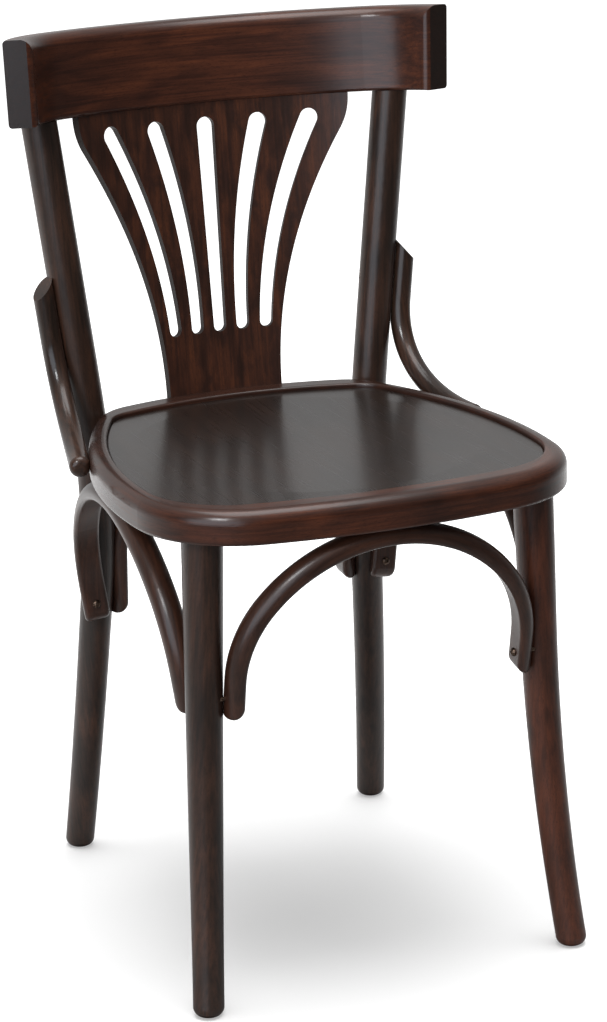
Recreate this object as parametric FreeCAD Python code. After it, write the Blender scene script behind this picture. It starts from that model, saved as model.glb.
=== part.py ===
import FreeCAD, Part
import math
import os

os.makedirs("parts", exist_ok=True)

V = FreeCAD.Vector

# Clearances. fit_gap is the space left all round a seated or bored joint.
fit_gap = 0.15

# Seat ring: a bent rim, rounded outside, with a ledge inside for the panel.
# The rim beside the panel is narrower at the sides than at front and back.
seat_height = 460.0
ring_thickness = 30.0
ring_width = 48.0
ledge_drop = 12.0
ring_top_round = 12.0
ring_bottom_round = 3.0
bead_round = 2.5
rim_front = 28.0
rim_side = 17.0
rim_back = 29.0
rim_front_corner = 80.0
rim_rear_corner = 34.0
seat_front = 244.5
seat_back = 176.7
seat_half_width = 203.6
seat_widest_y = -98.0
front_edge_radius = 720.0
side_edge_radius = 483.0
back_edge_radius = 390.0
front_corner_radius = 101.0
rear_corner_radius = 56.0
ring_bottom = seat_height - ring_thickness
ledge_height = seat_height - ledge_drop

# Seat panel: bent ply, dished a little, lying on the ledge.
panel_thickness = 8.0
panel_dish = 2.5
panel_dish_radius = 5200.0
panel_edge_round = 1.5

# Front legs: round, tapered, bent outwards towards the foot, placed from the ring's corner.
# Bends are (height, sideways slope, fore-and-aft slope) of the axis, top first.
front_leg_bearing = -40.1
front_leg_inset = 28.3
front_leg_bends = [(ring_bottom, -0.029, 0.008), (300.0, -0.029, 0.012), (0.0, -0.09, 0.19)]
front_leg_top_radius = 18.25
front_leg_foot_radius = 14.0
front_leg_taper_end = 50.0
foot_round = 8.0
leg_tenon_radius = 11.0
leg_tenon_length = 14.0

# Rear legs: leg and back post in one bent rod, let a little into the ring's corner.
rear_leg_radius = 16.75
rear_leg_foot_radius = 14.0
rear_leg_let_in = 1.6
rear_leg_bearing = 47.0
rear_leg_meet = seat_height - ring_thickness / 2
rear_leg_bends = [(seat_height + 15.0, 0.112, 0.030), (270.0, -0.061, -0.115), (0.0, -0.061, -0.205)]
post_tenon_radius = 7.0
post_tenon_length = 30.0

# Crest rail: thick bent rail, leaning back, more strongly curved over the posts.
# The post's axis lies post_setback behind the middle of the rail's thickness, and each
# end stands out further at its top than at its bottom by the flare.
crest_rise = 272.2
crest_lean = 4.5
crest_height = 79.5
crest_thickness = 26.0
crest_mid_radius = 314.0
crest_end_radius = 96.0
crest_bend_inset = 72.1
crest_end_angle = 71.0
crest_end_flare = 5.0
post_setback = 5.0
crest_top_round = 11.0
crest_end_round = 8.0
crest_bottom_round = 3.0
crest_back_round = 3.5
crest_bottom = seat_height + crest_rise

# Splat: thin bent board that fans out upwards, let into ring and crest, with five long slots.
# It is drawn on its front face: sideways along the sheet, and upwards from the slots' lower ends.
splat_let_in = 3.7
splat_setback = 2.9
splat_radius = crest_mid_radius + splat_setback
splat_thickness = 8.0
splat_foot_half = 57.5
splat_foot_tangent = -66.0
splat_flank_radius = 445.0
splat_shoulder_radius = 60.0
splat_head_half = 139.8
splat_housing = 15.0
slot_rise = 60.1
slot_length = 191.0
slot_low_radius = 6.2
slot_high_radius = 8.7
slot_mid = (23.1, 0.0, 652.0)
slot_outer = (45.2, -36.6, 490.0)

# Hip braces: bent rods from the posts down and forward to the seat's sides.
brace_radius = 10.0
brace_let_in = 1.2
brace_bearing = -12.7
brace_cut_high = seat_height + 130.0
brace_cut_low = brace_cut_high - 23.0
brace_bend_start = seat_height + 72.0
brace_end_y = 20.0
brace_end_z = seat_height - 17.0

# Arches: bent brackets between the legs, under the seat.
arch_width = 25.0
arch_thickness = 16.0
arch_outer_round = 12.0
arch_inner_round = 3.9
arch_end_round = 12.0
arch_crown_inset = 20.0
arch_crown_rise = 0.4
arch_front_end = ring_bottom - 164.0
arch_rear_end = ring_bottom - 178.0
side_arch_out = 4.0
front_arch_forward = 7.0
arch_cope = 1.2
# Each arch's crown radius is over, and its shoulder radius under, half its span.
front_arch_bend = (8.0, 27.0)
side_arch_bend = (13.0, 42.0)
rear_arch_bend = (7.5, 19.5)

# Fasteners.
screw_head_radius = 4.0
screw_head_height = 2.8
screw_shank_radius = 2.0
screw_socket_radius = 1.5
screw_socket_depth = 1.2
arch_screw_above_end = 19.0
arch_screw_length = 32.0
bolt_radius = 3.0
bolt_head_radius = 8.0
bolt_head_height = 3.5
bolt_socket_radius = 2.5
bolt_socket_depth = 2.0
bolt_height = seat_height - 21.0
washer_radius = 7.0
washer_thickness = 1.5
nut_across_flats = 10.0
nut_height = 5.0


def unit(v):
    return v * (1.0 / v.Length)


def mirrored(v):
    return V(-v.x, v.y, v.z)


def crossing(c1, r1, c2, r2):
    """Right-hand crossing point of two circles in plan."""
    d = c2 - c1
    a = (r1 * r1 - r2 * r2 + d.Length ** 2) / (2 * d.Length)
    h = math.sqrt(r1 * r1 - a * a)
    n = unit(V(-d.y, d.x, 0))
    p = c1 + unit(d) * a
    return max((p + n * h, p - n * h), key=lambda q: q.x)


def arc(centre, radius, a, b):
    """Arc about a centre from direction a to direction b, the short way round."""
    middle = unit(a + b)
    return Part.Arc(centre + a * radius, centre + middle * radius, centre + b * radius).toShape()


def prism(wire, direction):
    return Part.Face(wire).extrude(direction)


def layer(low, high):
    """Block wider than the chair between two heights."""
    reach = 2 * (seat_front + seat_half_width)
    return Part.makeBox(2 * reach, 2 * reach, high - low, V(-reach, -reach, low))


def stations(top, spacing=50.0, below_floor=12.0):
    """Evenly spaced heights from the top down, the last a little below the floor."""
    count = math.ceil((top + below_floor) / spacing)
    step = (top + below_floor) / count
    return [top - step * k for k in range(count + 1)]


def placed(shape, origin, x_axis, y_axis):
    """Copy of a shape moved from the origin frame to the given origin and axes."""
    z_axis = x_axis.cross(y_axis)
    m = FreeCAD.Matrix(x_axis.x, y_axis.x, z_axis.x, origin.x,
                       x_axis.y, y_axis.y, z_axis.y, origin.y,
                       x_axis.z, y_axis.z, z_axis.z, origin.z, 0, 0, 0, 1)
    moved = shape.copy()
    moved.Placement = FreeCAD.Placement(m).multiply(shape.Placement)
    return moved


def both_sides(shape):
    return [shape, shape.mirror(V(0, 0, 0), V(1, 0, 0))]


# Plan geometry of the seat: five blended arcs on each side.
front_centre = V(0, front_edge_radius - seat_front, 0)
back_centre = V(0, seat_back - back_edge_radius, 0)
side_centre = V(seat_half_width - side_edge_radius, seat_widest_y, 0)
front_corner = crossing(front_centre, front_edge_radius - front_corner_radius,
                        side_centre, side_edge_radius - front_corner_radius)
rear_corner = crossing(side_centre, side_edge_radius - rear_corner_radius,
                       back_centre, back_edge_radius - rear_corner_radius)


def seat_outline(z, long_radii, corner_radii):
    """Closed seat outline from front, side and back radii and front and rear corner radii."""
    up = V(0, 0, z)
    front, side, back = long_radii
    near, far = corner_radii
    near_centre = crossing(front_centre, front - near, side_centre, side - near)
    far_centre = crossing(side_centre, side - far, back_centre, back - far)
    f = unit(near_centre - front_centre)
    s = unit(near_centre - side_centre)
    t = unit(far_centre - side_centre)
    b = unit(far_centre - back_centre)
    half = [(near_centre, near, f, s), (side_centre, side, s, t), (far_centre, far, t, b)]
    edges = [arc(front_centre + up, front, mirrored(f), f)]
    for centre, radius, a, c in half:
        edges.append(arc(centre + up, radius, a, c))
    edges.append(arc(back_centre + up, back, b, mirrored(b)))
    for centre, radius, a, c in reversed(half):
        edges.append(arc(mirrored(centre) + up, radius, mirrored(c), mirrored(a)))
    return Part.Wire(edges)


def seat_slab(inset, low, high):
    """Slab to the ring's outer outline, set in evenly."""
    long_radii = [r - inset for r in (front_edge_radius, side_edge_radius, back_edge_radius)]
    corner_radii = [r - inset for r in (front_corner_radius, rear_corner_radius)]
    return prism(seat_outline(low, long_radii, corner_radii), V(0, 0, high - low))


rim_long_radii = (front_edge_radius - rim_front, side_edge_radius - rim_side, back_edge_radius - rim_back)
rim_corner_radii = (rim_front_corner, rim_rear_corner)


def rim_slab(gap, low, high):
    """Slab to the rim's inner edge, smaller by a gap all round."""
    long_radii = [r - gap for r in rim_long_radii]
    corner_radii = [r - gap for r in rim_corner_radii]
    return prism(seat_outline(low, long_radii, corner_radii), V(0, 0, high - low))


def ring_side(y, inset=0.0):
    """Point of the ring's side at a given depth, and its outward direction."""
    dy = y - seat_widest_y
    out = unit(V(math.sqrt(side_edge_radius ** 2 - dy ** 2), dy, 0))
    return side_centre + out * (side_edge_radius - inset), out


def bent_axis(start, start_z, bends, z):
    """Point and direction at height z of a rod whose slopes change evenly between bends."""
    def slopes(h):
        if h >= bends[0][0]:
            return bends[0][1], bends[0][2]
        for high, low in zip(bends[:-1], bends[1:]):
            if h >= low[0]:
                k = (h - low[0]) / (high[0] - low[0])
                return low[1] + k * (high[1] - low[1]), low[2] + k * (high[2] - low[2])
        return bends[-1][1], bends[-1][2]

    def offset(h):
        stops = sorted(set([h, start_z] + [b[0] for b in bends]))
        stops = [s for s in stops if min(h, start_z) <= s <= max(h, start_z)]
        x = 0.0
        y = 0.0
        for a, b in zip(stops[:-1], stops[1:]):
            sa = slopes(a + 1e-9)
            sb = slopes(b - 1e-9)
            x += (sa[0] + sb[0]) / 2 * (b - a)
            y += (sa[1] + sb[1]) / 2 * (b - a)
        sign = 1.0 if h > start_z else -1.0
        return sign * x, sign * y

    dx, dy = offset(z)
    sx, sy = slopes(z)
    return V(start[0] + dx, start[1] + dy, z), unit(V(sx, sy, 1))


def rod(axis, radius, heights, grow=0.0):
    """Round rod lofted through circles square to its axis at the given heights."""
    wires = []
    for z in heights:
        p, t = axis(z)
        c = Part.Circle(V(0, 0, 0), V(0, 0, 1), radius(z) + grow)
        w = Part.Wire(c.toShape())
        w.Placement = FreeCAD.Placement(p, FreeCAD.Rotation(V(0, 0, 1), t))
        wires.append(w)
    return Part.makeLoft(wires, True, False)


def cut_foot(leg):
    """Trim a leg at the floor and round its lower edge."""
    leg = leg.cut(layer(-60, 0))
    sole = [e for e in leg.Edges if e.BoundBox.ZMax < 0.5 and e.Closed]
    return leg.makeFillet(foot_round, sole)


# Front leg.
front_bearing = math.radians(front_leg_bearing)
front_place = front_corner + V(math.cos(front_bearing), math.sin(front_bearing), 0) * (
    front_corner_radius - front_leg_inset)


def front_axis(z):
    return bent_axis((front_place.x, front_place.y), ring_bottom, front_leg_bends, z)


def front_radius(z):
    k = (z - front_leg_taper_end) / (ring_bottom - front_leg_taper_end)
    return front_leg_foot_radius + max(0.0, k) * (front_leg_top_radius - front_leg_foot_radius)


front_heights = stations(ring_bottom + 8)
front_cutter = rod(front_axis, front_radius, front_heights, fit_gap)
front_leg = cut_foot(rod(front_axis, front_radius, front_heights))
front_leg = front_leg.cut(layer(ring_bottom, ring_bottom + 60))
top_point, top_direction = front_axis(ring_bottom)
tenon_foot = V(top_point.x, top_point.y, ring_bottom - 10)
front_leg = front_leg.fuse(Part.makeCylinder(leg_tenon_radius, 10 + leg_tenon_length, tenon_foot)).removeSplitter()
front_bore = Part.makeCylinder(leg_tenon_radius + fit_gap, leg_tenon_length + 2 + 1,
                               V(top_point.x, top_point.y, ring_bottom - 1))

# Rear leg, placed from the ring's corner that it is let into.
bearing = math.radians(rear_leg_bearing)
corner_out = V(math.cos(bearing), math.sin(bearing), 0)
rear_reach = rear_corner_radius + rear_leg_radius - rear_leg_let_in
rear_meet = rear_corner + corner_out * rear_reach


def rear_axis(z):
    return bent_axis((rear_meet.x, rear_meet.y), rear_leg_meet, rear_leg_bends, z)


def rear_radius(z):
    k = min(1.0, max(0.0, z / ring_bottom))
    return rear_leg_foot_radius + k * (rear_leg_radius - rear_leg_foot_radius)


rear_heights = stations(crest_bottom + 48)
rear_cutter = rod(rear_axis, rear_radius, rear_heights, fit_gap)

# The crest's own leaning frame: x across, y back, z up the lean.
# Its end bends, and its place fore and aft, follow the posts.
lean = math.radians(crest_lean)
crest_back_axis = V(0, math.cos(lean), -math.sin(lean))
crest_up = V(0, math.sin(lean), math.cos(lean))
post_head = rear_axis(crest_bottom)[0]
mid_angle = math.asin((post_head.x - crest_bend_inset) / (crest_mid_radius - crest_end_radius))
bend_centre_y = (crest_mid_radius - crest_end_radius) * math.cos(mid_angle) - crest_mid_radius
middle_y = bend_centre_y + math.sqrt((crest_end_radius + crest_thickness / 2) ** 2 - crest_bend_inset ** 2)
crest_front_y = post_head.y - post_setback - middle_y
crest_origin = V(0, crest_front_y, crest_bottom)


def crest_point(x, y, z):
    return crest_origin + V(x, 0, 0) + crest_back_axis * y + crest_up * z


def crest_blank():
    """Bent rail with rounded upper front edge and ends, in its leaning frame."""
    e = math.radians(crest_end_angle)
    mid_centre = V(0, -crest_mid_radius, 0)
    turn = V(math.sin(mid_angle), math.cos(mid_angle), 0)
    tip = V(math.sin(e), math.cos(e), 0)
    end_centre = mid_centre + turn * (crest_mid_radius - crest_end_radius)
    t = crest_thickness
    front_tip = end_centre + tip * crest_end_radius
    back_tip = end_centre + tip * (crest_end_radius + t)
    edges = [arc(mid_centre, crest_mid_radius, mirrored(turn), turn),
             arc(end_centre, crest_end_radius, turn, tip),
             Part.makeLine(front_tip, back_tip),
             arc(end_centre, crest_end_radius + t, tip, turn),
             arc(mid_centre, crest_mid_radius + t, turn, mirrored(turn)),
             arc(mirrored(end_centre), crest_end_radius + t, mirrored(turn), mirrored(tip)),
             Part.makeLine(mirrored(back_tip), mirrored(front_tip)),
             arc(mirrored(end_centre), crest_end_radius, mirrored(tip), mirrored(turn))]
    plain = prism(Part.Wire(edges), V(0, 0, crest_height))
    end_down = unit(V(-tip.y * crest_end_flare, tip.x * crest_end_flare, -crest_height))
    end_waste = Part.makeBox(160, 160, 60, V(-60, -40, -60))
    end_top = front_tip + V(0, 0, crest_height)
    end_waste = placed(end_waste, end_top, tip, end_down)
    for waste in both_sides(end_waste):
        plain = plain.cut(waste)

    def long_edges(shape, z, radii):
        found = []
        for edge in shape.Edges:
            flat = abs(edge.BoundBox.ZMin - z) < 0.01 and abs(edge.BoundBox.ZMax - z) < 0.01
            if flat and edge.Curve.TypeId == "Part::GeomCircle":
                if min(abs(edge.Curve.Radius - r) for r in radii) < 0.01:
                    found.append(edge)
        return found

    fronts = (crest_mid_radius, crest_end_radius)
    backs = (crest_mid_radius + t, crest_end_radius + t)
    rail = plain.makeFillet(crest_top_round, long_edges(plain, crest_height, fronts))
    rail = rail.makeFillet(crest_bottom_round, long_edges(rail, 0.0, fronts))
    rail = rail.makeFillet(crest_back_round, long_edges(rail, crest_height, backs) + long_edges(rail, 0.0, backs))
    r = crest_end_round
    corner = Part.makeBox(40, 160, 40, V(-40, -40, -40)).cut(Part.makeCylinder(r, 160, V(0, -40, 0), V(0, 1, 0)))
    corner_axis = end_top + (tip + tip.cross(end_down)) * (r - 0.5)
    for waste in both_sides(placed(corner, corner_axis, tip, end_down)):
        rail = rail.cut(waste)
    return placed(rail, crest_origin, V(1, 0, 0), crest_back_axis)


crest = crest_blank()
above_underside = placed(layer(0, 150), crest_origin, V(1, 0, 0), crest_back_axis)


def meets_crest(axis):
    """Height at which a post's axis reaches the crest's underside."""
    low = crest_bottom - 30
    high = crest_bottom + 30
    for step in range(40):
        z = (low + high) / 2
        if (axis(z)[0] - crest_origin).dot(crest_up) > 0:
            high = z
        else:
            low = z
    return z


post_point = rear_axis(meets_crest(rear_axis))[0]
rear_leg = cut_foot(rod(rear_axis, rear_radius, rear_heights))
rear_leg = rear_leg.cut(above_underside)
post_tenon = Part.makeCylinder(post_tenon_radius, 10 + post_tenon_length, post_point - crest_up * 10, crest_up)
rear_leg = rear_leg.fuse(post_tenon).removeSplitter()
crest_bore = Part.makeCylinder(post_tenon_radius + fit_gap, post_tenon_length + 2 + 10,
                               post_point - crest_up * 10, crest_up)

# Splat: the wall of a leaning drum, its fan outline and slots cut square to the sheet.
# Its own frame has x across, y back and z up the lean.
splat_foot = V(0, seat_back - splat_let_in, seat_height - ring_thickness / 2)
splat_head = V(0, crest_front_y + splat_setback, crest_bottom)
splat_up = unit(splat_head - splat_foot)
splat_back_axis = V(0, splat_up.z, -splat_up.y)
splat_origin = splat_foot + splat_up * ((seat_height + slot_rise - splat_foot.z) / splat_up.z)
splat_low = (ring_bottom + 1.0 - splat_origin.z) / splat_up.z
splat_top = (crest_bottom + splat_housing - splat_origin.z) / splat_up.z


def splat_wall(grow):
    length = splat_top - splat_low + 80
    foot = V(0, -splat_radius, splat_low - 40)
    wall = Part.makeCylinder(splat_radius + splat_thickness + grow, length, foot)
    return wall.cut(Part.makeCylinder(splat_radius - grow, length, foot))


def square_cutter(lines):
    """Block with sides square to the sheet, from lines and arcs drawn on the sheet."""
    front = splat_radius * (math.cos(splat_head_half / splat_radius) - 1) - 8
    wires = []
    for y in (front, splat_thickness + 8):
        edges = []
        for line in lines:
            q = [V((splat_radius + y) * math.tan(p.x / splat_radius), y, p.z) for p in line]
            if len(q) == 2:
                edges.append(Part.makeLine(q[0], q[1]))
            else:
                edges.append(Part.Arc(q[0], q[1], q[2]).toShape())
        wires.append(Part.Wire(edges))
    return Part.makeLoft(wires, True, True)


def fan_cutter(grow, low, high):
    """Fan outline: upright foot, concave flank, rounded shoulder, upright head."""
    r1 = splat_flank_radius
    r2 = splat_shoulder_radius
    turn = math.acos(1 - (splat_head_half - splat_foot_half) / (r1 + r2))
    foot_x = splat_foot_half + grow
    head_x = splat_head_half + grow
    z1 = splat_foot_tangent + r1 * math.sin(turn)
    z2 = z1 + r2 * math.sin(turn)

    def flank(angle):
        return V(foot_x + r1 * (1 - math.cos(angle)), 0, splat_foot_tangent + r1 * math.sin(angle))

    def shoulder(angle):
        return V(head_x - r2 * (1 - math.cos(angle)), 0, z2 - r2 * math.sin(angle))

    right = [(V(foot_x, 0, low), flank(0)), (flank(0), flank(turn / 2), flank(turn)),
             (flank(turn), shoulder(turn / 2), shoulder(0)), (shoulder(0), V(head_x, 0, high))]
    left = [tuple(mirrored(p) for p in reversed(line)) for line in reversed(right)]
    top = (right[-1][-1], mirrored(right[-1][-1]))
    bottom = (mirrored(right[0][0]), right[0][0])
    return square_cutter(right + [top] + left + [bottom])


def slot_cutter(line, side):
    """Long slot with round ends, widening upwards along a bent centreline."""
    def centre(z):
        if line is None:
            return V(0, 0, z)
        start, upright, radius = line
        return V(side * (start + radius - math.sqrt(radius ** 2 - (z - upright) ** 2)), 0, z)

    def normal(z):
        step = centre(z + 0.5) - centre(z - 0.5)
        return unit(V(step.z, 0, -step.x))

    def flank(z, sign):
        r = slot_low_radius + z / slot_length * (slot_high_radius - slot_low_radius)
        return centre(z) + normal(z) * (sign * r)

    up = normal(slot_length)
    down = normal(0)
    top = centre(slot_length) + V(-up.z, 0, up.x) * slot_high_radius
    bottom = centre(0) - V(-down.z, 0, down.x) * slot_low_radius
    middle = slot_length / 2
    if line is None:
        right = (flank(0, 1), flank(slot_length, 1))
        left = (flank(slot_length, -1), flank(0, -1))
    else:
        right = (flank(0, 1), flank(middle, 1), flank(slot_length, 1))
        left = (flank(slot_length, -1), flank(middle, -1), flank(0, -1))
    return square_cutter([right, (right[-1], top, left[0]), left, (left[-1], bottom, right[0])])


splat = splat_wall(0).common(fan_cutter(0, splat_low, splat_top))
splat = splat.cut(slot_cutter(None, 1))
for line in (slot_mid, slot_outer):
    for side in (1, -1):
        splat = splat.cut(slot_cutter(line, side))
splat = placed(splat, splat_origin, V(1, 0, 0), splat_back_axis)
splat_space = splat_wall(fit_gap).common(fan_cutter(fit_gap, splat_low - 20, splat_top + fit_gap))
splat_space = placed(splat_space, splat_origin, V(1, 0, 0), splat_back_axis)
crest = crest.cut(splat_space)
for bore in both_sides(crest_bore):
    crest = crest.cut(bore)

# Seat ring, cut for the legs and the splat.
ring = seat_slab(0, ring_bottom, seat_height)
ring = ring.makeFillet(ring_top_round, [e for e in ring.Edges if e.BoundBox.ZMin > seat_height - 0.01])
ring = ring.makeFillet(ring_bottom_round, [e for e in ring.Edges if e.BoundBox.ZMax < ring_bottom + 0.01])
ring = ring.cut(seat_slab(ring_width, ring_bottom - 1, seat_height + 1))
ring = ring.cut(rim_slab(0, ledge_height, seat_height + 1))
rim_edges = []
for edge in ring.Edges:
    if edge.BoundBox.ZMin > seat_height - 0.01 and edge.Curve.TypeId == "Part::GeomCircle":
        if min(abs(edge.Curve.Radius - r) for r in rim_long_radii + rim_corner_radii) < 0.01:
            rim_edges.append(edge)
ring = ring.makeFillet(bead_round, rim_edges)
ring = ring.cut(splat_space)
for cutter in both_sides(front_bore) + both_sides(rear_cutter):
    ring = ring.cut(cutter)

# Seat panel.
panel = rim_slab(fit_gap, ledge_height, ledge_height + panel_thickness)
panel_top = ledge_height + panel_thickness
panel = panel.makeFillet(panel_edge_round, [e for e in panel.Edges if e.BoundBox.ZMin > panel_top - 0.01])
dish_middle = V(0, (seat_back - seat_front) / 2, panel_top - panel_dish + panel_dish_radius)
panel = panel.cut(Part.makeSphere(panel_dish_radius, dish_middle))


# Arches, drawn flat and then leaned into place.
def arch_blank(half_span, bend, rise):
    """Bent bracket with its crown at the origin, its ends straight and rounded inside."""
    r1 = half_span + bend[0]
    r2 = half_span - bend[1]
    t = arch_thickness
    s = (half_span - r2) / (r1 - r2)
    turn = V(s, math.sqrt(1 - s * s), 0)
    out = V(1, 0, 0)
    crown_centre = V(0, -r1, 0)
    shoulder = crown_centre + turn * (r1 - r2)
    foot = V(half_span, -rise, 0)
    inner_foot = V(half_span - t, -rise + arch_end_round, 0)
    toe = V(half_span - t + arch_end_round, -rise, 0)
    toe_centre = V(toe.x, inner_foot.y, 0)

    def half_edges(sign):
        def p(v):
            return v if sign > 0 else mirrored(v)
        return [arc(p(shoulder), r2, p(turn), p(out)),
                Part.makeLine(p(shoulder + out * r2), p(foot)),
                Part.makeLine(p(foot), p(toe)),
                arc(p(toe_centre), arch_end_round, V(0, -1, 0), p(V(-1, 0, 0))),
                Part.makeLine(p(inner_foot), p(shoulder + out * (r2 - t))),
                arc(p(shoulder), r2 - t, p(out), p(turn))]

    edges = half_edges(1) + [arc(crown_centre, r1 - t, turn, mirrored(turn))]
    edges += half_edges(-1) + [arc(crown_centre, r1, mirrored(turn), turn)]
    wire = Part.Wire(Part.__sortEdges__(edges))
    wire.translate(V(0, 0, -arch_width / 2))
    body = prism(wire, V(0, 0, arch_width))

    def depth(p):
        x = abs(p.x)
        if p.y < shoulder.y:
            return half_span - x
        if x > 0 and x / math.hypot(x, p.y + r1) > s:
            return r2 - math.hypot(x - shoulder.x, p.y - shoulder.y)
        return r1 - math.hypot(x, p.y + r1)

    def lines_at(shape, level):
        """Lengthwise edges of the two flat sides at a given depth from the back."""
        found = []
        for edge in shape.Edges:
            if edge.BoundBox.ZLength < 1:
                k = (edge.FirstParameter + edge.LastParameter) / 2
                if abs(depth(edge.valueAt(k)) - level) < 0.3:
                    found.append(edge)
        return found

    body = body.makeFillet(arch_outer_round, lines_at(body, 0.0))
    return body.makeFillet(arch_inner_round, lines_at(body, t))


def leaned_arch(left, right, crown, bend, cutters):
    """Arch between two end points, leaned so that its crown comes under the given point."""
    middle = (left + right) * 0.5
    half_span = (right - left).Length / 2
    x_axis = unit(right - left)
    rise_line = crown - middle
    rise_line = rise_line - x_axis * rise_line.dot(x_axis)
    body = placed(arch_blank(half_span, bend, rise_line.Length),
                  middle + rise_line, x_axis, unit(rise_line))
    body = body.cut(layer(ring_bottom, ring_bottom + 60))
    for cutter in cutters:
        body = body.cut(cutter)
    return body, middle, x_axis, unit(rise_line), half_span, rise_line.Length


front_stop = front_axis(arch_front_end)[0]
rear_stop = rear_axis(arch_rear_end)[0]
front_reach = front_radius(arch_front_end) - arch_cope
rear_reach = rear_radius(arch_rear_end) - arch_cope
crown_z = ring_bottom + arch_crown_rise
front_end = front_stop + V(-front_reach, -front_arch_forward, 0)
front_arch = leaned_arch(mirrored(front_end), front_end,
                         V(0, -seat_front + arch_crown_inset - 1.5, crown_z),
                         front_arch_bend, both_sides(front_cutter))
rear_end = rear_stop + V(-rear_reach, 0, 0)
rear_arch = leaned_arch(mirrored(rear_end), rear_end,
                        V(0, seat_back - arch_crown_inset, crown_z),
                        rear_arch_bend, both_sides(rear_cutter))
side_line = unit(rear_stop - front_stop)
side_front_end = front_stop + side_line * front_reach + V(side_arch_out, 0, 0)
side_rear_end = rear_stop - side_line * rear_reach + V(side_arch_out, 0, 0)
side_middle_y = (side_front_end.y + side_rear_end.y) / 2
side_crown = ring_side(side_middle_y, arch_crown_inset - side_arch_out)[0] + V(0, 0, crown_z)
side_arch = leaned_arch(side_front_end, side_rear_end, side_crown, side_arch_bend,
                        [front_cutter, rear_cutter])

# Hip brace: straight beside the post, then bent forward along the ring's side.
b_angle = math.radians(brace_bearing)
brace_out = V(math.cos(b_angle), math.sin(b_angle), 0)
brace_offset = brace_out * (rear_leg_radius + brace_radius - brace_let_in)
brace_end, brace_end_out = ring_side(brace_end_y)
brace_end = brace_end + brace_end_out * (brace_radius - brace_let_in) + V(0, 0, brace_end_z)
along_ring = unit(V(brace_end_out.y, -brace_end_out.x, -0.02))
bend_start, bend_direction = rear_axis(brace_bend_start)
bend_start = bend_start + brace_offset
brace_top = rear_axis(brace_cut_high + 12)[0] + brace_offset
curve = Part.BezierCurve()
curve.setPoles([bend_start, bend_start - bend_direction * 60, brace_end - along_ring * 70, brace_end])
path = Part.Wire([Part.makeLine(brace_top, bend_start), curve.toShape()])
ring_of_rod = Part.Wire(Part.Circle(brace_top, unit(bend_start - brace_top), brace_radius).toShape())
brace = path.makePipeShell([ring_of_rod], True, True)
cut_axis = rear_axis(brace_cut_high)[0] + brace_out * rear_leg_radius
cut_drop = unit(brace_out * (2 * brace_radius) - V(0, 0, brace_cut_high - brace_cut_low))
cut_side = V(0, 0, 1).cross(brace_out)
brace = brace.cut(placed(Part.makeBox(160, 80, 80, V(-60, -40, 0)), V(cut_axis.x, cut_axis.y, brace_cut_high),
                         cut_drop, unit(cut_side)))
brace = brace.cut(rear_cutter)
brace = brace.cut(seat_slab(-fit_gap, ring_bottom - 5, seat_height))


# Fasteners: each is drawn with its head's seat at the origin and its shank downwards.
def turned(profile):
    """Solid of revolution about the vertical axis from a closed half profile."""
    return Part.Face(Part.Wire(profile)).revolve(V(0, 0, 0), V(0, 0, 1), 360)


def pan_screw(length):
    """Wood screw with a domed head and a round socket."""
    r = screw_head_radius
    h = screw_head_height
    s = screw_shank_radius
    lip = V(r, 0, 0.5)
    edges = [Part.makeLine(V(0, 0, -length), V(s, 0, -length + 4)),
             Part.makeLine(V(s, 0, -length + 4), V(s, 0, 0)),
             Part.makeLine(V(s, 0, 0), V(r, 0, 0)),
             Part.makeLine(V(r, 0, 0), lip),
             Part.Arc(lip, V(r * 0.62, 0, h * 0.84), V(0, 0, h)).toShape(),
             Part.makeLine(V(0, 0, h), V(0, 0, -length))]
    socket = Part.makeCylinder(screw_socket_radius, screw_socket_depth + 1, V(0, 0, h - screw_socket_depth))
    return turned(edges).cut(socket)


def flush_screw(length):
    """Wood screw with a countersunk head, its flat top at the origin."""
    r = screw_head_radius
    s = screw_shank_radius
    points = [V(0, 0, -length), V(s, 0, -length + 4), V(s, 0, s - r - 0.4), V(r, 0, -0.4), V(r, 0, 0),
              V(0, 0, 0), V(0, 0, -length)]
    edges = [Part.makeLine(a, b) for a, b in zip(points[:-1], points[1:])]
    socket = Part.makeCylinder(screw_socket_radius, screw_socket_depth + 1, V(0, 0, -screw_socket_depth))
    return turned(edges).cut(socket)


def screw_space(length, countersunk):
    """Space cut in the wood for a screw, a little wider than the screw itself."""
    s = screw_shank_radius + fit_gap
    hole = Part.makeCylinder(s, length + 1, V(0, 0, -length - 0.5))
    if countersunk:
        r = screw_head_radius
        cone = Part.makeCone(s, r + 0.4 + fit_gap, r - s + 0.4 + 0.4, V(0, 0, s - r - 0.4 - fit_gap))
        above = Part.makeCylinder(r + 0.4 + fit_gap, 6, V(0, 0, 0.4 - fit_gap))
        hole = hole.fuse(cone).fuse(above)
    return hole


def driven(shape, point, outward):
    """Place a fastener with its seat at a point and its head looking outwards."""
    shape = shape.copy()
    shape.Placement = FreeCAD.Placement(point, FreeCAD.Rotation(V(0, 0, 1), outward))
    return shape


arch_leg_screws = []
arch_ring_screws = []


def fasten_arch(item, screws_at):
    """Screws through an arch's inner face into the legs and up into the ring."""
    body, middle, x_axis, y_axis, half_span, rise = item
    length = arch_screw_length
    seats = []
    for side in screws_at:
        p = middle + x_axis * (side * (half_span - arch_thickness)) + y_axis * arch_screw_above_end
        seats.append((p, x_axis * -side, arch_leg_screws))
    crown = middle + y_axis * (rise - arch_thickness)
    seats.append((crown, y_axis * -1.0, arch_ring_screws))
    spaces = []
    for point, outward, group in seats:
        space = driven(screw_space(length, False), point, outward)
        body = body.cut(space)
        spaces.append(space)
        group.append(driven(pan_screw(length), point, outward))
    return body, spaces


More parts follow.
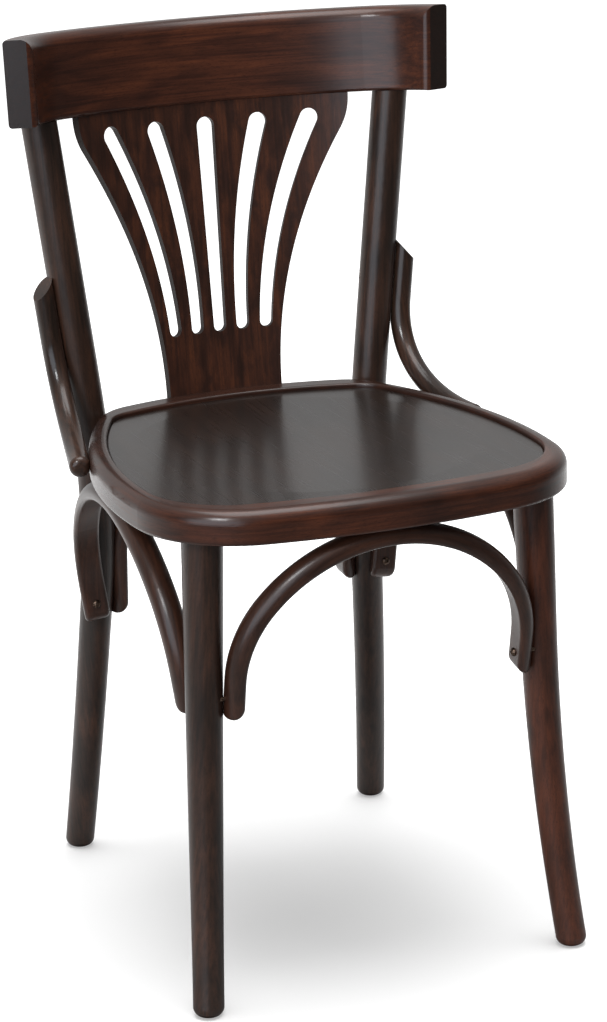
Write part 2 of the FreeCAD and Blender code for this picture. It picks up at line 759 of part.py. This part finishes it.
front_arch, front_spaces = fasten_arch(front_arch, (-1, 1))
rear_arch, rear_spaces = fasten_arch(rear_arch, (-1, 1))
first_side_screw = len(arch_leg_screws)
side_arch, side_spaces = fasten_arch(side_arch, (-1, 1))
for shape in arch_leg_screws[first_side_screw:]:
    arch_leg_screws.append(shape.mirror(V(0, 0, 0), V(1, 0, 0)))
arch_ring_screws.append(arch_ring_screws[-1].mirror(V(0, 0, 0), V(1, 0, 0)))
arch_spaces = front_spaces + rear_spaces
for space in side_spaces:
    arch_spaces += both_sides(space)
for space in arch_spaces:
    ring = ring.cut(space)
    front_leg = front_leg.cut(space)
    rear_leg = rear_leg.cut(space)

# Brace screws: one through each post, one through each side of the ring.
brace_screw_z = 558.0
post_at_screw = rear_axis(brace_screw_z)[0]
post_screw_point = post_at_screw - brace_out * (rear_leg_radius - 0.6)
post_screw_length = 42.0
post_screw_space = driven(screw_space(post_screw_length, True), post_screw_point, brace_out * -1.0)
brace_post_screw = driven(flush_screw(post_screw_length), post_screw_point, brace_out * -1.0)
rear_leg = rear_leg.cut(post_screw_space)
brace = brace.cut(post_screw_space)
ring_inside, ring_out = ring_side(brace_end_y + 12.0, ring_width)
ring_screw_length = 57.0
ring_screw_point = ring_inside + V(0, 0, ledge_height - 7.0)
ring_screw_space = driven(screw_space(ring_screw_length, False), ring_screw_point, ring_out * -1.0)
brace_ring_screw = driven(pan_screw(ring_screw_length), ring_screw_point, ring_out * -1.0)
brace = brace.cut(ring_screw_space)
for space in both_sides(ring_screw_space):
    ring = ring.cut(space)

# Rear-leg bolts: through leg and ring, with washer and nut in a flat seat inside the ring.
bolt_axis_point = rear_corner + V(0, 0, bolt_height)
leg_at_bolt = rear_axis(bolt_height)[0]
bolt_out = unit(V(leg_at_bolt.x - rear_corner.x, leg_at_bolt.y - rear_corner.y, 0))
leg_back = leg_at_bolt + bolt_out * rear_leg_radius
head_seat = leg_back - bolt_out * 2.0
nut_seat_distance = rear_corner_radius - ring_width + 3.0
nut_seat = bolt_axis_point + bolt_out * nut_seat_distance
bolt_length = (head_seat - nut_seat).Length
washer_space = driven(Part.makeCylinder(washer_radius + 1.0, 30), nut_seat, bolt_out * -1.0)
bolt_hole = driven(Part.makeCylinder(bolt_radius + fit_gap, bolt_length + 60, V(0, 0, -bolt_length - 30)),
                   head_seat, bolt_out)
head_space = driven(Part.makeCylinder(bolt_head_radius + 0.5, 20), head_seat, bolt_out)
rear_leg = rear_leg.cut(bolt_hole).cut(head_space)
for space in both_sides(bolt_hole) + both_sides(washer_space):
    ring = ring.cut(space)
bolt_profile = [Part.makeLine(V(0, 0, -bolt_length - 10), V(bolt_radius, 0, -bolt_length - 10)),
                Part.makeLine(V(bolt_radius, 0, -bolt_length - 10), V(bolt_radius, 0, 0)),
                Part.makeLine(V(bolt_radius, 0, 0), V(bolt_head_radius, 0, 0)),
                Part.makeLine(V(bolt_head_radius, 0, 0), V(bolt_head_radius, 0, 0.8)),
                Part.Arc(V(bolt_head_radius, 0, 0.8),
                         V(bolt_head_radius * 0.6, 0, bolt_head_height * 0.8),
                         V(0, 0, bolt_head_height)).toShape(),
                Part.makeLine(V(0, 0, bolt_head_height), V(0, 0, -bolt_length - 10))]
bolt_socket = Part.makeCylinder(bolt_socket_radius, 10, V(0, 0, bolt_head_height - bolt_socket_depth))
rear_bolt = driven(turned(bolt_profile).cut(bolt_socket), head_seat, bolt_out)
washer = Part.makeCylinder(washer_radius, washer_thickness)
washer = washer.cut(Part.makeCylinder(bolt_radius + fit_gap, washer_thickness))
rear_washer = driven(washer, nut_seat, bolt_out * -1.0)
hexagon = []
for k in range(7):
    a = math.radians(60 * k)
    r = nut_across_flats / math.sqrt(3)
    hexagon.append(V(r * math.cos(a), r * math.sin(a), 0))
nut = prism(Part.makePolygon(hexagon), V(0, 0, nut_height))
nut = nut.cut(Part.makeCylinder(bolt_radius + 0.05, nut_height))
rear_nut = driven(nut, nut_seat - bolt_out * washer_thickness, bolt_out * -1.0)

# Splat screws, from behind into the ring.
splat_screws = []
splat_screw_length = 32.0
splat_screw_spread = 34.0
for side in (-1, 1):
    turn = side * splat_screw_spread / splat_radius
    outward = V(math.sin(turn), 0, 0) + splat_back_axis * math.cos(turn)
    seat = splat_origin - splat_back_axis * splat_radius + splat_up * (splat_low + 10.0)
    seat = seat + outward * (splat_radius + splat_thickness + 0.2)
    space = driven(screw_space(splat_screw_length, False), seat, outward)
    ring = ring.cut(space)
    splat = splat.cut(space)
    splat_screws.append(driven(pan_screw(splat_screw_length), seat, outward))

# Panel screws, up through the ledge.
panel_screws = []
panel_screw_length = ledge_height - ring_bottom + 4.0
panel_screw_inset = 41.0
places = [V(0, seat_back - panel_screw_inset, 0)]
for side in (-1, 1):
    for y in (60.0, -90.0):
        p = ring_side(y, panel_screw_inset)[0]
        places.append(V(side * p.x, p.y, 0))
    places.append(V(side * 70.0, -seat_front + panel_screw_inset + 3.0, 0))
for p in places:
    seat = V(p.x, p.y, ring_bottom)
    space = driven(screw_space(panel_screw_length, False), seat, V(0, 0, -1))
    ring = ring.cut(space)
    panel = panel.cut(space)
    panel_screws.append(driven(pan_screw(panel_screw_length), seat, V(0, 0, -1)))

# Centre the chair fore and aft on its own box, then write every node.
crest_back_line = crest_point(0, crest_thickness - crest_back_round, crest_height - crest_back_round)
crest_back = crest_back_line.y + crest_back_round
shift = V(0, (seat_front - crest_back) / 2, 0)


def write(name, solids):
    shape = solids[0] if len(solids) == 1 else Part.makeCompound(solids)
    shape.translate(shift)
    shape.exportStep("parts/" + name + ".step")


def write_pair(name, shape):
    right, left = both_sides(shape)
    write(name + "_right", [right])
    write(name + "_left", [left])


write("seat_ring", [ring])
write("seat_panel", [panel])
write_pair("front_leg", front_leg)
write_pair("rear_leg", rear_leg)
write("crest_rail", [crest])
write("back_splat", [splat])
write_pair("hip_brace", brace)
write("front_arch", [front_arch])
write("rear_arch", [rear_arch])
write_pair("side_arch", side_arch)
write("arch_leg_screws", arch_leg_screws)
write("arch_ring_screws", arch_ring_screws)
write("brace_post_screws", both_sides(brace_post_screw))
write("brace_ring_screws", both_sides(brace_ring_screw))
write("rear_leg_bolts", both_sides(rear_bolt))
write("rear_leg_washers", both_sides(rear_washer))
write("rear_leg_nuts", both_sides(rear_nut))
write("splat_screws", splat_screws)
write("panel_screws", panel_screws)
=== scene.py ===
import math

import bpy
from mathutils import Matrix, Vector


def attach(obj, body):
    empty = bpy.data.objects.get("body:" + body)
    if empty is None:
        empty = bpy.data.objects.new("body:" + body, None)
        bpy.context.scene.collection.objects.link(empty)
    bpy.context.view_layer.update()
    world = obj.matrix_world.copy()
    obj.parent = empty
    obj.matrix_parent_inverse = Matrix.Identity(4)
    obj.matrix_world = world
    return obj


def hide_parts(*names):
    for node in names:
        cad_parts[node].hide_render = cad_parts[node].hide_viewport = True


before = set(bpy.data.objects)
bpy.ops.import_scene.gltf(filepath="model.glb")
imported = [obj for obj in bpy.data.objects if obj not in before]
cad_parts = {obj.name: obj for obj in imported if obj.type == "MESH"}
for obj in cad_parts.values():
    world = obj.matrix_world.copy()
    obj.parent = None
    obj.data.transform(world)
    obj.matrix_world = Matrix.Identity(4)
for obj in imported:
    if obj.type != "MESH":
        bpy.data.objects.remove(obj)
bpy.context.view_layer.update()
bpy.ops.object.select_all(action="DESELECT")

# Seat ring. One beech lath, steamed and bent round until its ends meet in a long scarf joint at
# the back, then machined with a rounded outside and a ledge for the panel. Stained dark walnut and
# sprayed with satin lacquer, which leaves a soft grey sheen over red-brown, mottled wood.
full_coat = 0.9
bump_height = 0.0001
# The darker tone of soaked end grain, also used as painted shade on the ring's sides and back.
soaked_and_shade_tone = "#1f1916"
ring_tones = ("#29150d", "#3e2015", "#60321e")
ring_middle = (0, -0.035, 0)
ring_bend = 0.2
# Along Y, where the ring's painted shade begins and where it is full.
shade_starts = -0.21
shade_full = -0.05


def linear(code):
    """An sRGB hex colour as linear red, green and blue, with full alpha."""
    parts = [int(code[k:k + 2], 16) / 255 for k in (1, 3, 5)]
    return [p / 12.92 if p <= 0.04045 else ((p + 0.055) / 1.055) ** 2.4 for p in parts] + [1.0]


def add(tree, kind, settings=None, inputs=None):
    """Adds a shader node, sets its properties, and fills its sockets with values or links."""
    node = tree.nodes.new("ShaderNode" + kind)
    for name, value in (settings or {}).items():
        setattr(node, name, value)
    for name, value in (inputs or {}).items():
        if isinstance(value, bpy.types.NodeSocket):
            tree.links.new(value, node.inputs[name])
        else:
            node.inputs[name].default_value = value
    return node


def bent_grain(centre, turn, radius, square=2.0):
    """Grain of a bent piece. It runs round the turned Z axis, and its length is counted from the
    turned Y axis, in metres at the given radius. Square is 2 for a round bend, and more for one
    with flatter sides."""
    def grain(tree):
        place = add(tree, "TexCoord").outputs["Object"]
        local = add(tree, "Mapping", {"vector_type": "TEXTURE"},
                    {"Vector": place, "Location": centre, "Rotation": turn})
        x, y, z = add(tree, "SeparateXYZ", {}, {0: local.outputs[0]}).outputs
        angle = add(tree, "Math", {"operation": "ARCTAN2"}, {0: x, 1: y}).outputs[0]
        along = add(tree, "Math", {"operation": "MULTIPLY"}, {0: angle, 1: radius}).outputs[0]
        powers = []
        for side in (x, y):
            side = add(tree, "Math", {"operation": "ABSOLUTE"}, {0: side}).outputs[0]
            power = add(tree, "Math", {"operation": "POWER"}, {0: side, 1: square})
            powers.append(power.outputs[0])
        total = add(tree, "Math", {"operation": "ADD"}, {0: powers[0], 1: powers[1]}).outputs[0]
        reach = add(tree, "Math", {"operation": "POWER"}, {0: total, 1: 1.0 / square}).outputs[0]
        return add(tree, "CombineXYZ", {}, {0: reach, 1: z, 2: along}).outputs[0]
    return grain


def stained_beech(name, grain, tones, lacquer, seed, streak_size=(2.6, 130.0), waver=0.0,
                  cloud_size=(26.0, 80.0), relief=0.4, soak_and_shade=None, end_coat=full_coat):
    """Beech with its short dark flecks and faint long streaks, seen through a walnut stain that
    took unevenly, under a satin lacquer that shows broad, soft reflections. The tones are the
    stain at its darkest, at its middle and where it let the red wood through. Lacquer is how much
    it blurs a reflection, and relief how far the grain shows in its surface. Where soak_and_shade
    is given, it says how far a surface goes to a darker tone: on sawn end grain, which drank more
    stain, and on the ring's sides and back, where the darker tone is painted shade. End_coat says
    how much of the lacquer shows there."""
    dark, mid, red = (linear(tone) for tone in tones)
    material = bpy.data.materials.new(name)
    material.use_nodes = True
    tree = material.node_tree
    tree.nodes.clear()
    lie = grain(tree)
    # Width and length in mm, then detail, roughness and distortion, of the clouds of stain, the
    # streaks of growth, the flecks, and the ripple of the lacquer.
    looks = {"cloud": (*cloud_size, 3.0, 0.5, 0.6), "streak": (*streak_size, 4.0, 0.6, waver),
             "fleck": (0.75, 4.2, 1.0, 0.5, 0.0), "ripple": (2.4, 3.2, 1.0, 0.5, 0.0)}
    noise = {}
    for look, (width, length, detail, coarseness, bend) in looks.items():
        scaled = add(tree, "Mapping", {},
                     {"Vector": lie, "Location": (seed, seed * 0.7, seed * 1.3),
                      "Scale": (1000 / width, 1000 / width, 1000 / length)}).outputs[0]
        noise[look] = add(tree, "TexNoise", {},
                          {"Vector": scaled, "Scale": 1.0, "Detail": detail,
                           "Roughness": coarseness, "Distortion": bend}).outputs[0]
    cloud = add(tree, "MapRange", {"interpolation_type": "SMOOTHSTEP"},
                {"Value": noise["cloud"], "From Min": 0.3, "From Max": 0.7}).outputs[0]
    streak = add(tree, "MapRange", {},
                 {"Value": noise["streak"], "From Min": 0.34, "From Max": 0.68}).outputs[0]
    fleck = add(tree, "MapRange", {}, {"Value": noise["fleck"], "From Min": 0.56,
                                       "From Max": 0.7, "To Max": 0.5}).outputs[0]
    # A Mix node of colours takes them at its sockets 6 and 7.
    stain = add(tree, "Mix", {"data_type": "RGBA"}, {0: streak, 6: dark, 7: mid}).outputs[2]
    warm = add(tree, "Mix", {"data_type": "RGBA"}, {0: streak, 6: mid, 7: red}).outputs[2]
    wood = add(tree, "Mix", {"data_type": "RGBA"}, {0: cloud, 6: stain, 7: warm}).outputs[2]
    wood = add(tree, "Mix", {"data_type": "RGBA"}, {0: fleck, 6: wood, 7: dark}).outputs[2]
    if soak_and_shade:
        darkening = add(tree, "MapRange", {}, {"Value": noise["cloud"], "From Min": 0.3,
                                            "From Max": 0.7, "To Min": 0.75, "To Max": 0.95})
        darkening = add(tree, "Math", {"operation": "MULTIPLY"},
                     {0: darkening.outputs[0], 1: soak_and_shade(tree)}).outputs[0]
        # Goes to the darker tone on soaked end grain, and as painted shade on the ring's sides and
        # back.
        wood = add(tree, "Mix", {"data_type": "RGBA"},
                   {0: darkening, 6: wood, 7: linear(soaked_and_shade_tone)}).outputs[2]
    rough = add(tree, "MapRange", {}, {"Value": noise["streak"], "From Min": 0.3,
                                       "From Max": 0.7, "To Min": 0.42, "To Max": 0.56}).outputs[0]
    grain_bump = add(tree, "Bump", {}, {"Height": noise["streak"], "Strength": relief,
                                        "Distance": bump_height}).outputs[0]
    skin = add(tree, "Bump", {}, {"Height": noise["ripple"], "Strength": 0.25,
                                  "Distance": bump_height, "Normal": grain_bump}).outputs[0]
    coat = full_coat
    if soak_and_shade and end_coat < full_coat:
        coat = add(tree, "MapRange", {}, {"Value": soak_and_shade(tree), "To Min": full_coat,
                                          "To Max": end_coat}).outputs[0]
    shader = add(tree, "BsdfPrincipled", {},
                 {"Base Color": wood, "Roughness": rough, "IOR": 1.5, "Specular IOR Level": 0.1,
                  "Normal": skin, "Coat Weight": coat, "Coat Roughness": lacquer,
                  "Coat IOR": 1.5, "Coat Normal": skin})
    out = add(tree, "OutputMaterial")
    tree.links.new(shader.outputs[0], out.inputs[0])
    return material


def finish_nodes(material, *names):
    """Gives CAD nodes their material."""
    for name in names:
        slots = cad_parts[name].data.materials
        slots.clear()
        slots.append(material)


def ring_painted_shade(tree):
    """Painted shade: over half way to the darker tone at the ring's sides and back, and none at its
    front.
    """
    place = add(tree, "TexCoord").outputs["Object"]
    depth = add(tree, "SeparateXYZ", {}, {0: place}).outputs[1]
    return add(tree, "MapRange", {"interpolation_type": "SMOOTHSTEP"},
               {"Value": depth, "From Min": shade_starts, "From Max": shade_full,
                "To Max": 0.6}).outputs[0]


ring_grain = bent_grain(ring_middle, (0, 0, math.pi), ring_bend, square=4.0)
# The ring's sides and back are painted darker, as shade.
ring_finish = stained_beech("stained beech, bent round the seat", ring_grain, ring_tones,
                            lacquer=0.25, seed=3.0, soak_and_shade=ring_painted_shade)
finish_nodes(ring_finish, "seat_ring")

# Seat panel. Moulded beech plywood, dished a little, in the ring's ledge. The same stain, but
# rubbed flatter and sprayed with more lacquer, so it mirrors the back of the chair.
panel_tones = ("#16100d", "#201814", "#2c1f18")


def straight_grain(turn):
    """Grain of a straight piece: its length is the turned Z axis."""
    def grain(tree):
        place = add(tree, "TexCoord").outputs["Object"]
        return add(tree, "Mapping", {"vector_type": "TEXTURE"},
                   {"Vector": place, "Rotation": turn}).outputs[0]
    return grain


panel_finish = stained_beech("stained beech veneer, seat", straight_grain((-math.pi / 2, 0, 0)),
                             panel_tones, lacquer=0.22, seed=11.0, relief=0.08)
finish_nodes(panel_finish, "seat_panel")

# Front legs. Turned beech, tapering to the foot and steamed to sweep outwards, tenoned into the
# ring from below. The wood of the right one is redder, and shows through its stain.
front_rake = 0.09
leg_splay = 0.05
for side, name, tones in ((1, "front_leg_right", ("#2f1910", "#4e2a1c", "#683723")),
                          (-1, "front_leg_left", ("#1e1510", "#31221a", "#4e3225"))):
    leg_grain = straight_grain((front_rake, -side * leg_splay, 0))
    leg_finish = stained_beech("stained beech, " + name.replace("_", " "), leg_grain, tones,
                               lacquer=0.31, seed=17.0 + side, relief=0.8)
    finish_nodes(leg_finish, name)

# Rear legs. Leg and back post are one long turned beech rod, steamed and bent where it passes the
# seat. It is bolted through the ring and tenoned into the crest rail.
rod_tones = ("#1e1510", "#32231b", "#503325")
for side, name in ((1, "rear_leg_right"), (-1, "rear_leg_left")):
    leg_grain = straight_grain((0, side * leg_splay, 0))
    leg_finish = stained_beech("stained beech, " + name.replace("_", " "), leg_grain, rod_tones,
                               lacquer=0.31, seed=23.0 + side, relief=0.8)
    finish_nodes(leg_finish, name)

# Crest rail. A thick beech plank, steamed and bent to the sitter's back, its long edges and front
# corners rounded. Long grain shows all along its front, and its sawn ends drank more stain.
crest_middle = (0, -0.106, 0.73)
crest_lean = math.radians(4.5)
crest_bend = 0.314
crest_tones = ("#2c1710", "#402218", "#62341f")
end_zone = (0.165, 0.175)


def crest_ends(tree):
    """One on the rail's two end faces, which look to the front and a little outwards."""
    place = add(tree, "TexCoord")
    across = add(tree, "SeparateXYZ", {}, {0: place.outputs["Object"]}).outputs[0]
    side = add(tree, "Math", {"operation": "SIGN"}, {0: across}).outputs[0]
    face = add(tree, "SeparateXYZ", {}, {0: place.outputs["Normal"]})
    outward = add(tree, "Math", {"operation": "MULTIPLY"}, {0: side, 1: face.outputs[0]})
    outward = add(tree, "MapRange", {}, {"Value": outward.outputs[0], "From Min": -0.05,
                                         "From Max": 0.15}).outputs[0]
    front = add(tree, "MapRange", {}, {"Value": face.outputs[1], "From Min": 0.1,
                                       "From Max": -0.1}).outputs[0]
    far = add(tree, "Math", {"operation": "ABSOLUTE"}, {0: across}).outputs[0]
    far = add(tree, "MapRange", {}, {"Value": far, "From Min": end_zone[0],
                                     "From Max": end_zone[1]}).outputs[0]
    mask = add(tree, "Math", {"operation": "MULTIPLY"}, {0: outward, 1: front}).outputs[0]
    return add(tree, "Math", {"operation": "MULTIPLY"}, {0: mask, 1: far}).outputs[0]


crest_grain = bent_grain(crest_middle, (-crest_lean, 0, 0), crest_bend)
crest_finish = stained_beech("stained beech, crest rail", crest_grain, crest_tones, lacquer=0.25,
                             seed=31.0, streak_size=(3.0, 120.0), waver=0.8,
                             cloud_size=(24.0, 90.0), soak_and_shade=crest_ends)
finish_nodes(crest_finish, "crest_rail")

# Splat. Thin beech plywood moulded to a curve, sawn to a fan and slotted, its grain upright. Its
# head is let into the crest rail and its foot is screwed to the back of the ring.
splat_lean = math.radians(6.4)
splat_tones = ("#29170f", "#361f18", "#5b321e")


def sawn_edges(tree):
    """One on the splat's sawn outline and slot walls, none on its broad faces."""
    face = add(tree, "SeparateXYZ", {}, {0: add(tree, "TexCoord").outputs["Normal"]}).outputs[1]
    face = add(tree, "Math", {"operation": "ABSOLUTE"}, {0: face}).outputs[0]
    return add(tree, "MapRange", {}, {"Value": face, "From Min": 0.75,
                                      "From Max": 0.45}).outputs[0]


splat_finish = stained_beech("stained beech, splat", straight_grain((-splat_lean, 0, 0)),
                             splat_tones, lacquer=0.3, seed=41.0, streak_size=(4.0, 110.0),
                             waver=0.6, cloud_size=(13.0, 34.0), soak_and_shade=sawn_edges, end_coat=0.15)
finish_nodes(splat_finish, "back_splat")

# Hip braces. Thin bent beech rods that tie the posts to the sides of the ring, screwed to both.
# Their front ends are turned to a round nose, which the lacquer has run over.
brace_radius = 0.01
brace_bend = 0.12
nose_radius = 0.006
nose_steps = 5
weld = 0.00002
crease = math.radians(28)
behind_nose = 0.035
above_nose = 0.48
for side, name in ((1, "hip_brace_right"), (-1, "hip_brace_left")):
    rod = bpy.data.objects.new(name + "_rod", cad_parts[name].data.copy())
    bpy.context.scene.collection.objects.link(rod)
    bpy.context.view_layer.objects.active = rod
    rod.select_set(True)
    bpy.ops.mesh.customdata_custom_splitnormals_clear()
    bpy.ops.object.mode_set(mode="EDIT")
    bpy.ops.mesh.select_all(action="SELECT")
    bpy.ops.mesh.remove_doubles(threshold=weld)
    bpy.ops.object.mode_set(mode="OBJECT")
    # The sawn end is found as the faces that look forward, low down and near the front.
    end = [face for face in rod.data.polygons if face.normal.y < -0.8
           and face.center.y < behind_nose and face.center.z < above_nose]
    area = sum(face.area for face in end)
    middle = sum((face.center * face.area for face in end), Vector()) / area
    out = sum((face.normal * face.area for face in end), Vector()).normalized()
    bpy.ops.object.mode_set(mode="EDIT")
    bpy.ops.mesh.select_all(action="SELECT")
    bpy.ops.mesh.bisect(plane_co=middle - out * nose_radius, plane_no=out, clear_outer=True)
    # The cut edge is pushed out and drawn in along a quarter circle, then closed.
    reach, width = 0.0, brace_radius
    for step in range(1, nose_steps + 1):
        turn = math.radians(90 * step / nose_steps)
        further = nose_radius * math.sin(turn)
        narrower = brace_radius - nose_radius * (1 - math.cos(turn))
        bpy.ops.mesh.extrude_region_move(
            TRANSFORM_OT_translate={"value": out * (further - reach)})
        ratio = narrower / width
        bpy.ops.transform.resize(value=(ratio, ratio, ratio),
                                 center_override=middle + out * (further - nose_radius))
        reach, width = further, narrower
    bpy.ops.mesh.edge_face_add()
    bpy.ops.mesh.select_all(action="SELECT")
    bpy.ops.mesh.normals_make_consistent(inside=False)
    bpy.ops.object.mode_set(mode="OBJECT")
    bpy.ops.object.shade_smooth_by_angle(angle=crease)
    brace_grain = bent_grain((side * 0.19, 0.03, 0.56), (math.pi / 2, 0, math.pi / 2), brace_bend)
    rod.data.materials.clear()
    rod.data.materials.append(stained_beech("stained beech, " + name.replace("_", " "),
                                            brace_grain, rod_tones, lacquer=0.22,
                                            seed=47.0 + side))
    rod.select_set(False)
    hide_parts(name)
    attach(rod, "root")

# Arches. Four brackets of bent beech between the legs, each screwed to two legs near its ends and
# up into the ring at its crown.
arch_height = 0.285
arch_bend = 0.14
arch_tones = ("#26160f", "#3c241a", "#523122")
lengthways = (math.pi / 2, 0, math.pi / 2)
crossways = (math.pi / 2, 0, 0)
arch_places = {"front_arch": (0, -0.2, crossways), "rear_arch": (0, 0.165, crossways),
               "side_arch_right": (0.17, 0, lengthways), "side_arch_left": (-0.17, 0, lengthways)}
for number, (name, (x, y, turn)) in enumerate(arch_places.items()):
    arch_grain = bent_grain((x, y, arch_height), turn, arch_bend)
    arch_finish = stained_beech("stained beech, " + name.replace("_", " "), arch_grain,
                                arch_tones, lacquer=0.3, seed=53.0 + number)
    finish_nodes(arch_finish, name)

# Screws and bolts. Steel browned by chemical blacking and oil, dull with a warm edge. Screws hold
# the arches, braces, splat and panel; bolts with washers and nuts hold the rear legs.


def browned_steel(name, base, worn, rough):
    """Oiled, browned steel: dark, half dull, with lighter rubbed spots a millimetre or two wide."""
    material = bpy.data.materials.new(name)
    material.use_nodes = True
    tree = material.node_tree
    tree.nodes.clear()
    place = add(tree, "TexCoord").outputs["Object"]
    spots = add(tree, "TexNoise", {}, {"Vector": place, "Scale": 700.0, "Detail": 3.0}).outputs[0]
    rubbed = add(tree, "MapRange", {}, {"Value": spots, "From Min": 0.45,
                                        "From Max": 0.7}).outputs[0]
    colour = add(tree, "Mix", {"data_type": "RGBA"},
                 {0: rubbed, 6: linear(base), 7: linear(worn)}).outputs[2]
    dull = add(tree, "MapRange", {}, {"Value": spots, "From Min": 0.3, "From Max": 0.7,
                                      "To Min": rough + 0.08, "To Max": rough - 0.08}).outputs[0]
    skin = add(tree, "Bump", {}, {"Height": spots, "Strength": 0.4,
                                  "Distance": bump_height}).outputs[0]
    shader = add(tree, "BsdfPrincipled", {}, {"Base Color": colour, "Metallic": 1.0,
                                              "Roughness": dull, "Normal": skin})
    out = add(tree, "OutputMaterial")
    tree.links.new(shader.outputs[0], out.inputs[0])
    return material


finish_nodes(browned_steel("browned steel screws", "#54443a", "#8a7566", 0.42),
             "arch_leg_screws", "arch_ring_screws", "brace_post_screws", "brace_ring_screws",
             "splat_screws", "panel_screws")
finish_nodes(browned_steel("browned steel bolts", "#5a463b", "#937866", 0.38),
             "rear_leg_bolts", "rear_leg_washers", "rear_leg_nuts")

# Studio floor. Matt white paint, soft and even under the chair. Seen in the lacquer, it is dim in
# front of the chair and bright behind it.
seen_paint = 0.6
dim_paint = 0.11
bpy.ops.mesh.primitive_plane_add(size=60.0, location=(0, 0, 0))
floor = bpy.context.object
floor.name = "studio_floor"
paint = bpy.data.materials.new("matt white floor paint")
paint.use_nodes = True
tree = paint.node_tree
tree.nodes.clear()
seen = add(tree, "LightPath").outputs["Is Camera Ray"]
place = add(tree, "TexCoord").outputs["Object"]
depth = add(tree, "SeparateXYZ", {}, {0: place}).outputs[1]
near = add(tree, "MapRange", {"interpolation_type": "SMOOTHSTEP"},
           {"Value": depth, "From Min": -0.9, "From Max": 0.8, "To Min": dim_paint,
            "To Max": seen_paint}).outputs[0]
shade = add(tree, "Mix", {"data_type": "FLOAT"}, {0: seen, 2: near, 3: seen_paint}).outputs[0]
tint = add(tree, "CombineColor", {}, {0: shade, 1: shade, 2: shade}).outputs[0]
# The floor far from the chair has its own light: white to the eye, and bright behind in the
# lacquer.
away = add(tree, "VectorMath", {"operation": "LENGTH"}, {0: place}).outputs["Value"]
white = add(tree, "MapRange", {"interpolation_type": "SMOOTHSTEP"},
            {"Value": away, "From Min": 0.3, "From Max": 1.3, "To Min": 0.4}).outputs[0]
back = add(tree, "MapRange", {"interpolation_type": "SMOOTHSTEP"},
           {"Value": depth, "From Min": 0.3, "From Max": 1.2, "To Max": 0.35}).outputs[0]
glow = add(tree, "Mix", {"data_type": "FLOAT"}, {0: seen, 2: back, 3: white}).outputs[0]
matt = add(tree, "BsdfPrincipled", {},
           {"Base Color": tint, "Roughness": 0.9, "Specular IOR Level": 0.0,
            "Emission Color": linear("#ffffff"), "Emission Strength": glow})
tree.links.new(matt.outputs[0], add(tree, "OutputMaterial").inputs[0])
floor.data.materials.append(paint)

# Studio walls. White to the eye. Seen in the lacquer, they are dim in front and at the sides, and
# brighter above and behind.
dim_wall = 0.07
bright_wall = 0.53
world = bpy.data.worlds.new("studio")
bpy.context.scene.world = world
world.use_nodes = True
tree = world.node_tree
tree.nodes.clear()
seen = add(tree, "LightPath").outputs["Is Camera Ray"]
way = add(tree, "SeparateXYZ", {}, {0: add(tree, "TexCoord").outputs["Generated"]})
above = add(tree, "MapRange", {"interpolation_type": "SMOOTHSTEP"},
            {"Value": way.outputs[2], "From Min": 0.35, "From Max": 0.95}).outputs[0]
behind = add(tree, "MapRange", {"interpolation_type": "SMOOTHSTEP"},
             {"Value": way.outputs[1], "From Min": -0.1, "From Max": 0.8}).outputs[0]
glow = add(tree, "Math", {"operation": "MAXIMUM"}, {0: above, 1: behind}).outputs[0]
level = add(tree, "MapRange", {}, {"Value": glow, "To Min": dim_wall,
                                   "To Max": bright_wall}).outputs[0]
level = add(tree, "Mix", {"data_type": "FLOAT"}, {0: seen, 2: level, 3: 1.0}).outputs[0]
sky = add(tree, "Background", {}, {"Color": linear("#ffffff"), "Strength": level})
tree.links.new(sky.outputs[0], add(tree, "OutputWorld").inputs[0])

# Softboxes: (name, place, size across and up, watts, colour), each turned to the middle of the
# chair. The two on the left leave the floor out and the wash lights nothing else, so that the
# seat's shadow falls straight below it.
aim_point = Vector((0, 0, 0.5))
linked = {"window_left": "EXCLUDE", "lamp_left": "EXCLUDE", "floor_wash": "INCLUDE"}
for name, place, size, watts, colour in (
        ("window_left", (-2.2, -1.9, 1.0), (2.6, 1.8), 35.0, "#eaf3ff"),
        ("lamp_left", (-1.9, -1.8, 2.5), (0.6, 0.6), 36.0, "#fbfdff"),
        ("overhead", (0.0, -0.05, 2.8), (1.7, 1.7), 36.0, "#ffffff"),
        ("floor_wash", (0.12, 0.05, 2.6), (2.3, 2.3), 100.0, "#ffffff")):
    lamp = bpy.data.lights.new(name, "AREA")
    lamp.shape = "RECTANGLE"
    lamp.size, lamp.size_y = size
    lamp.energy = watts
    lamp.color = linear(colour)[:3]
    box = bpy.data.objects.new(name, lamp)
    bpy.context.scene.collection.objects.link(box)
    box.location = place
    box.rotation_euler = (aim_point - box.location).to_track_quat("-Z", "Y").to_euler()
    if name in linked:
        receivers = bpy.data.collections.new(name + "_floor")
        receivers.objects.link(floor)
        receivers.collection_objects[0].light_linking.link_state = linked[name]
        box.light_linking.receiver_collection = receivers

# The camera stands where the photograph was taken from: about 3 m away, to the left of the
# chair's front, and looking a little down on it.
stand = (-1.040769, -2.656195, 1.236139)
yaw = math.radians(21.3068)
pitch = math.radians(16.6707)
roll = math.radians(1.6820)
lens = bpy.data.cameras.new("photograph")
lens.sensor_width = 36.0
lens.lens = 113.68
lens.shift_x = 0.01173
lens.shift_y = 0.00133
camera = bpy.data.objects.new("photograph", lens)
bpy.context.scene.collection.objects.link(camera)
camera.matrix_world = (Matrix.Translation(stand) @ Matrix.Rotation(-yaw, 4, "Z")
                       @ Matrix.Rotation(math.pi / 2 - pitch, 4, "X")
                       @ Matrix.Rotation(-roll, 4, "Z"))
bpy.context.scene.camera = camera
bpy.context.scene.view_settings.view_transform = "Standard"
